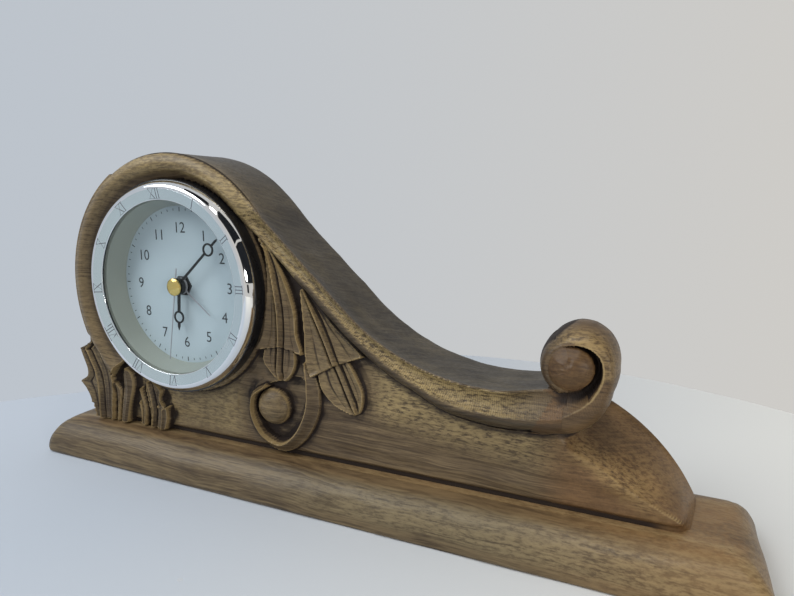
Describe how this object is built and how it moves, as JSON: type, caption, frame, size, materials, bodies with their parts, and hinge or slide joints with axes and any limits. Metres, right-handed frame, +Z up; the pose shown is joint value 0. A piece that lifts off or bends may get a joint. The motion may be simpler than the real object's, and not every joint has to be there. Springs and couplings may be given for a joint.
{
  "type": "mantel clock",
  "caption": "Carved wooden mantel clock on a moulded plinth, with a round quartz alarm clock set in its head and a sweep that ends in a volute.",
  "frame": {"origin": "bottom centre of the whole clock's box, under the middle of the plinth", "axes": "+X along the plinth, from the clock face's end to the volute's end as seen from the front; +Y from the clock face towards the back; +Z up"},
  "size_m": [0.34, 0.064, 0.1564],
  "materials": {
    "plinth_wood": "stained and waxed, satin",
    "case_wood": "carved, stained and waxed, satin",
    "screw_steel": "zinc plated",
    "black_plastic": "satin black",
    "band_rubber": "matt",
    "bezel_chrome": "polished",
    "clear_glass": "clear",
    "pale_plastic": "satin pale grey",
    "dial_white": "smooth pale card with a blue cast",
    "hand_black": "matt black",
    "hand_silver": "satin",
    "cap_brass": "polished",
    "grey_plastic": "fine matt texture",
    "white_plastic": "moulded",
    "rotor_plastic": "moulded",
    "stator_steel": "bare steel",
    "coil_copper": "lacquered copper wire",
    "board_green": "solder mask",
    "battery_sleeve": "plain printed sleeve",
    "contact_steel": "nickel plated",
    "knob_plastic": "moulded",
    "switch_plastic": "moulded"
  },
  "bodies": {
    "root": {"plinth": "plinth_wood", "case": "case_wood", "case_screws": "screw_steel", "insert_body": "black_plastic", "grip_band": "band_rubber", "bezel": "bezel_chrome", "glass": "clear_glass", "dial_ring": "pale_plastic", "dial": "dial_white", "dial_nut": "black_plastic", "movement_front": "black_plastic", "movement_back": "grey_plastic", "middle_plate": "white_plastic", "movement_screws": "screw_steel", "stator": "stator_steel", "coil": "coil_copper", "circuit_board": "board_green", "buzzer": "cap_brass", "battery_contacts": "contact_steel"},
    "minute_hand_assembly": {"minute_hand": "hand_black", "cannon_pinion": "cap_brass"},
    "hour_hand_assembly": {"hour_hand": "hand_black", "hour_wheel": "white_plastic"},
    "second_hand_assembly": {"second_hand": "hand_silver", "hub_cap": "cap_brass", "second_wheel": "white_plastic"},
    "alarm_hand_assembly": {"alarm_hand": "hand_silver", "alarm_wheel": "white_plastic"},
    "motion_wheel": {"motion_wheel": "white_plastic"},
    "centre_wheel": {"centre_wheel": "white_plastic"},
    "third_wheel": {"third_wheel": "white_plastic"},
    "fifth_wheel": {"fifth_wheel": "white_plastic"},
    "rotor": {"rotor": "rotor_plastic"},
    "time_knob": {"time_knob": "knob_plastic"},
    "alarm_knob": {"alarm_knob": "knob_plastic"},
    "alarm_switch": {"alarm_switch": "switch_plastic"},
    "battery": {"battery": "battery_sleeve"}
  },
  "joints": [
    {"name": "minute_turn", "type": "hinge", "parent": "root", "child": "minute_hand_assembly", "pos_m": [-0.0818, 0, 0.0938], "axis": [0, 1, 0], "continuous": true},
    {"name": "hour_turn", "type": "hinge", "parent": "root", "child": "hour_hand_assembly", "pos_m": [-0.0818, 0, 0.0938], "axis": [0, 1, 0], "continuous": true},
    {"name": "motion_wheel_turn", "type": "hinge", "parent": "root", "child": "motion_wheel", "pos_m": [-0.07305, 0, 0.09885], "axis": [0, 1, 0], "continuous": true},
    {"name": "time_knob_turn", "type": "hinge", "parent": "root", "child": "time_knob", "pos_m": [-0.06431, 0, 0.1039], "axis": [0, 1, 0], "continuous": true},
    {"name": "second_turn", "type": "hinge", "parent": "root", "child": "second_hand_assembly", "pos_m": [-0.0818, 0, 0.0938], "axis": [0, 1, 0], "continuous": true},
    {"name": "centre_wheel_turn", "type": "hinge", "parent": "root", "child": "centre_wheel", "pos_m": [-0.0818, 0, 0.0938], "axis": [0, 1, 0], "continuous": true},
    {"name": "third_wheel_turn", "type": "hinge", "parent": "root", "child": "third_wheel", "pos_m": [-0.07665, 0, 0.10272], "axis": [0, 1, 0], "continuous": true},
    {"name": "fifth_wheel_turn", "type": "hinge", "parent": "root", "child": "fifth_wheel", "pos_m": [-0.0891, 0, 0.0938], "axis": [0, 1, 0], "continuous": true},
    {"name": "rotor_turn", "type": "hinge", "parent": "root", "child": "rotor", "pos_m": [-0.0941, 0, 0.0888], "axis": [0, 1, 0], "continuous": true},
    {"name": "alarm_hand_turn", "type": "hinge", "parent": "root", "child": "alarm_hand_assembly", "pos_m": [-0.0818, 0, 0.0938], "axis": [0, 1, 0], "continuous": true},
    {"name": "alarm_knob_turn", "type": "hinge", "parent": "root", "child": "alarm_knob", "pos_m": [-0.08965, 0, 0.10165], "axis": [0, 1, 0], "continuous": true},
    {"name": "alarm_switch_slide", "type": "slide", "parent": "root", "child": "alarm_switch", "axis": [1, 0, 0], "range_m": [0, 0.003]},
    {"name": "battery_slide", "type": "slide", "parent": "root", "child": "battery", "axis": [0, 1, 0], "range_m": [0, 0.022]}
  ],
  "couplings": [
    {"joint": "hour_turn", "follows": "minute_turn", "ratio": 0.083333},
    {"joint": "motion_wheel_turn", "follows": "minute_turn", "ratio": -0.33333},
    {"joint": "time_knob_turn", "follows": "minute_turn", "ratio": 1},
    {"joint": "centre_wheel_turn", "follows": "second_turn", "ratio": 0.016667},
    {"joint": "third_wheel_turn", "follows": "second_turn", "ratio": -0.13333},
    {"joint": "fifth_wheel_turn", "follows": "second_turn", "ratio": -5},
    {"joint": "rotor_turn", "follows": "second_turn", "ratio": 30},
    {"joint": "alarm_knob_turn", "follows": "alarm_hand_turn", "ratio": -3.4}
  ]
}
